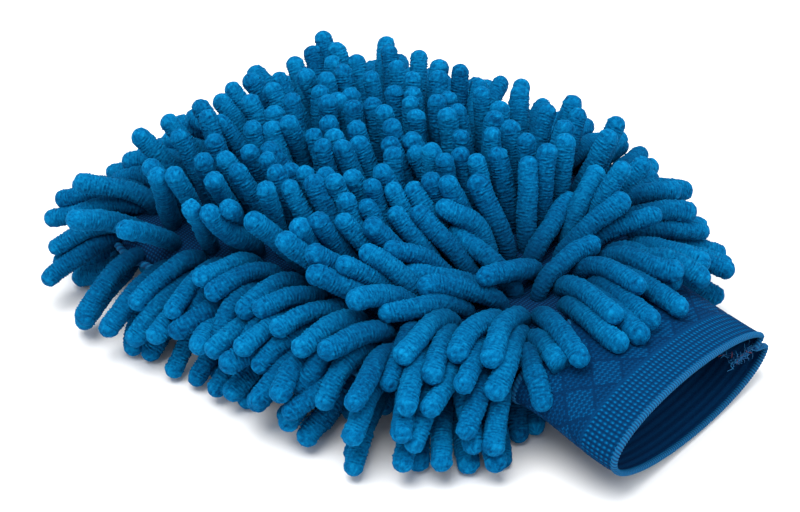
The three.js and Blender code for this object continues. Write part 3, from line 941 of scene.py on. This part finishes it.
def build_cuff(material):
    """The elastic band: a patterned outer face and a ribbed inner one, closed at both ends."""
    angle = np.arange(CUFF_COLUMNS) * 2 * math.pi / CUFF_COLUMNS
    end = BODY_Y - MOUTH_Y - BAND_END_GAP
    outside = np.linspace(BAND_START, end, CUFF_ROWS)
    inside = np.linspace(BAND_START, end, LINING_ROWS)
    ring = cuff_outline(angle, 20.0, 0.0)[0]
    steps = np.linalg.norm(np.roll(ring, -1, axis=0) - ring, axis=1)
    around = np.r_[0, np.cumsum(steps)[:-1]]
    girth = steps.sum()
    around = around * round(girth / DOT_PITCH[0]) * DOT_PITCH[0] / girth
    outer = cuff_outline(angle, outside, 0.0)
    depth, loops = knit_relief(around[None], outside[:, None])
    outer = outer - wall_normals(outer) * (depth - RELIEF_MIDDLE)[..., None]
    inner = cuff_outline(angle, inside, -WALL)
    ribs = 0.5 + 0.5 * np.cos(2 * math.pi * inside / LINING_PITCH)[:, None] * np.ones((1, CUFF_COLUMNS))
    inner = inner + wall_normals(inner) * (LINING_RELIEF * ribs)[..., None]
    points = np.concatenate([outer[::-1], inner])
    shade = np.concatenate([loops[::-1], 0.02 + 0.2 * ribs])
    rows = len(points)
    faces = grid_faces(rows, CUFF_COLUMNS, closed=True)
    faces = np.concatenate([faces, closing_faces(rows, CUFF_COLUMNS)])[:, ::-1]
    obj = make_object("cuff_knit_band", points.reshape(-1, 3), [faces], material, {"loops": shade})
    return place(obj, "cuff_knit", "cuff_band"), girth


def stitched_tube(name, path, closed, radii, pitch, twist, material):
    """A bead of thread along a path: radii across it, with stitches that wrap it at `pitch`."""
    step = np.roll(path, -1, axis=0) - path if closed else np.diff(path, axis=0)
    lengths = np.linalg.norm(step, axis=1)
    total = lengths.sum()
    stitches = max(round(total / pitch), 1)
    count = stitches * RINGS_PER_STITCH
    stations = np.r_[0, np.cumsum(lengths)]
    line = np.concatenate([path, path[:1]]) if closed else path
    wanted = np.linspace(0, total, count, endpoint=not closed)
    centre = np.stack([np.interp(wanted, stations, line[:, k]) for k in range(3)], 1)
    if closed:
        tangent = np.roll(centre, -1, axis=0) - np.roll(centre, 1, axis=0)
    else:
        tangent = np.gradient(centre, axis=0)
    tangent /= np.linalg.norm(tangent, axis=1, keepdims=True)
    sideways = np.array([0.0, 1.0, 0.0]) if closed else np.array([0.0, 0.0, 1.0])
    first = sideways - tangent * (tangent @ sideways)[:, None]
    first /= np.linalg.norm(first, axis=1, keepdims=True)
    second = np.cross(tangent, first)
    angle = np.arange(BEAD_SIDES) * 2 * math.pi / BEAD_SIDES
    phase = 2 * math.pi * wanted[:, None] * stitches / total
    wrap = 0.5 + 0.5 * np.cos(phase + twist * angle[None])
    size = 1 + 0.2 * (wrap - 0.5)
    points = (
        centre[:, None]
        + first[:, None] * (radii[0] * size * np.cos(angle))[..., None]
        + second[:, None] * (radii[1] * size * np.sin(angle))[..., None]
    )
    rows = len(centre)
    faces = [grid_faces(rows, BEAD_SIDES, closed=True)]
    if closed:
        faces.append(closing_faces(rows, BEAD_SIDES))
    else:
        cap = np.arange(BEAD_SIDES)
        faces.append(cap[None, ::-1])
        faces.append((rows - 1) * BEAD_SIDES + cap[None])
    return make_object(name, points.reshape(-1, 3), faces, material, {"strand": wrap})


def build_seams(material):
    angle = np.linspace(0, 2 * math.pi, 480, endpoint=False)
    rim = cuff_outline(angle, 1.0, -0.45)[0]
    selvedge = stitched_tube("cuff_rolled_edge", rim, True, (1.15, 0.95), 1.1, 1, material)
    place(selvedge, "seam_thread", "cuff_selvedge")
    neck = cuff_outline(angle, (JOIN_LOW[1] + JOIN_HIGH[1]) / 2 - MOUTH_Y, 0.0)[0]
    joining = stitched_tube("cuff_attaching_stitches", neck, True, (1.1, 0.5), 1.4, 2, material)
    place(joining, "seam_thread", "cuff_attaching_seam")
    edge = edge_line(-1.3, 1, BODY_Y + 0.5)
    edge[:, 2] = SEAM_Z
    overlock = stitched_tube("overlocked_edge", pulled(edge), False, (1.5, 1.3), 2.4, 2, material)
    place(overlock, "seam_thread", "perimeter_seam")
    return selvedge


def build_join(knit, fibre):
    """Seam allowance of the band's own join, at the notch in the mouth, with its frayed end."""
    rng = np.random.default_rng(SEED + 1)
    distances = np.linspace(2.4, CUFF_LENGTH - 1, FLAP_ROWS)
    notch = cuff_outline(np.array([NOTCH["angle"]]), distances, -1.1)[:, 0]
    width = JOIN_ALLOWANCE + 0.4 * np.sin(distances * 0.9) + rng.normal(0, 0.12, len(distances))
    across = np.linspace(0, 1, FLAP_COLUMNS)
    lift = 1.1 * np.sin(across * 2.4)
    flat = np.zeros((FLAP_ROWS, FLAP_COLUMNS))
    points = notch[:, None] + np.stack([-(width[:, None] * across[None]), flat, flat - lift], -1)
    loops = 0.12 + 0.25 * (0.5 + 0.5 * np.cos(points[..., 1] * 5.5))
    faces = [grid_faces(FLAP_ROWS, FLAP_COLUMNS)]
    flap = make_object("cuff_join_allowance", points.reshape(-1, 3), faces, knit, {"loops": loops})
    solid = flap.modifiers.new("cloth_thickness", "SOLIDIFY")
    solid.thickness = FLAP_THICKNESS * MM
    solid.offset = 0
    place(flap, "cuff_knit", "cuff_join_seam")
    build_fray(points, rng, fibre)
    return flap


def build_fray(flap, rng, material):
    """Loose thread ends that curl out of the allowance's mouth end and free edge."""
    share = rng.uniform(0.0, 1.0, FRAY_COUNT)
    start = flap[0, 0] + (flap[0, -1] - flap[0, 0]) * share[:, None]
    deep = rng.random(FRAY_COUNT) < 0.35
    start[deep] = flap[rng.integers(0, 16, deep.sum()), -1]
    start = start + rng.normal(0, 0.35, start.shape)
    lie = np.where(deep[:, None], [-1.0, -0.4, 0.1], [-0.1, -0.9, 0.25])
    heading = rng.normal(0, 0.6, (FRAY_COUNT, 3)) + lie
    length = rng.uniform(1.6, 4.2, FRAY_COUNT)
    stray = (rng.random(FRAY_COUNT) < 0.08).astype(float)
    points, shades, strays, quads = [], [], [], []
    for k in range(FRAY_COUNT):
        direction = heading[k] / np.linalg.norm(heading[k])
        line = [start[k]]
        for _ in range(FRAY_LINKS - 1):
            direction = direction + rng.normal(0, 0.28, 3)
            direction /= np.linalg.norm(direction)
            line.append(line[-1] + direction * length[k] / FRAY_LINKS)
        line = np.array(line)
        line[:, 1] = np.maximum(line[:, 1], MOUTH_Y - 1.5)
        tangent = np.gradient(line, axis=0)
        tangent /= np.linalg.norm(tangent, axis=1, keepdims=True) + 1e-9
        across, up = transported_frames(tangent[None])
        angle = np.arange(FRAY_SIDES) * 2 * math.pi / FRAY_SIDES
        radius = rng.uniform(0.1, 0.19) * np.linspace(1, 0.5, FRAY_LINKS)
        ring = radius[:, None, None] * (
            across[0][:, None] * np.cos(angle)[:, None] + up[0][:, None] * np.sin(angle)[:, None]
        )
        points.append((line[:, None] + ring).reshape(-1, 3))
        quads.append(grid_faces(FRAY_LINKS, FRAY_SIDES, closed=True) + k * FRAY_LINKS * FRAY_SIDES)
        shades.append(np.full(FRAY_LINKS * FRAY_SIDES, rng.random()))
        strays.append(np.full(FRAY_LINKS * FRAY_SIDES, stray[k]))
    attributes = {"tint": np.concatenate(shades), "stray": np.concatenate(strays)}
    faces = [np.concatenate(quads)]
    fray = make_object("cuff_join_loose_ends", np.concatenate(points), faces, material, attributes)
    place(fray, "chenille_pile", "cuff_join_fray")


def main():
    knit, thread = cuff_knit(), seam_thread()
    build_pile(chenille())
    ground = ground_knit()
    build_panel("back_panel_fabric", "back_panel", 1, ground)
    build_panel("palm_panel_fabric", "palm_panel", -1, ground)
    band, girth = build_cuff(knit)
    selvedge = build_seams(thread)
    flap = build_join(knit, loose_fibre())


def build_stage():
    floor_size = 6000.0
    corners = np.array([[-1, -1], [1, -1], [1, 1], [-1, 1]]) * floor_size
    points = np.column_stack([corners, np.full(4, -0.05)])
    floor = make_object("floor", points, [np.array([[0, 1, 2, 3]])], pale_floor())


def add_area_light(name, azimuth, elevation, distance, size, power, colour):
    """A soft light aimed at the mitt; azimuth 0 stands in front of the mouth, looking along +Y."""
    data = bpy.data.lights.new(name, "AREA")
    data.shape = "DISK"
    data.size = size
    data.energy = power
    data.color = colour
    light = bpy.data.objects.new(name, data)
    a, e = math.radians(azimuth), math.radians(elevation)
    back = Vector((math.sin(a) * math.cos(e), -math.cos(a) * math.cos(e), math.sin(e)))
    light.location = back * distance
    light.rotation_euler = back.to_track_quat("Z", "Y").to_euler()
    bpy.context.scene.collection.objects.link(light)


def build_lights():
    scene = bpy.context.scene
    scene.view_settings.view_transform = "Standard"
    world = bpy.data.worlds.new("studio")
    scene.world = world
    world.use_nodes = True
    background = world.node_tree.nodes["Background"]
    background.inputs["Color"].default_value = (0.96, 0.98, 1.0, 1)
    background.inputs["Strength"].default_value = 0.74
    add_area_light("key", -85, 74, 1.3, 1.0, 20.0, (1.0, 0.99, 0.97))
    add_area_light("fill", 35, 42, 1.5, 1.2, 8.0, (0.95, 0.98, 1.0))


def build_camera():
    data = bpy.data.cameras.new("photo_camera")
    data.lens = CAMERA_LENS
    data.clip_start = 0.01
    camera = bpy.data.objects.new("photo_camera", data)
    a, e = math.radians(CAMERA_AZIMUTH), math.radians(CAMERA_ELEVATION)
    back = Vector((math.sin(a) * math.cos(e), -math.cos(a) * math.cos(e), math.sin(e)))
    camera.location = CAMERA_TARGET + back * CAMERA_DISTANCE
    camera.rotation_euler = back.to_track_quat("Z", "Y").to_euler()
    bpy.context.scene.collection.objects.link(camera)
    bpy.context.scene.camera = camera


build_stage()
build_lights()
build_camera()
main()
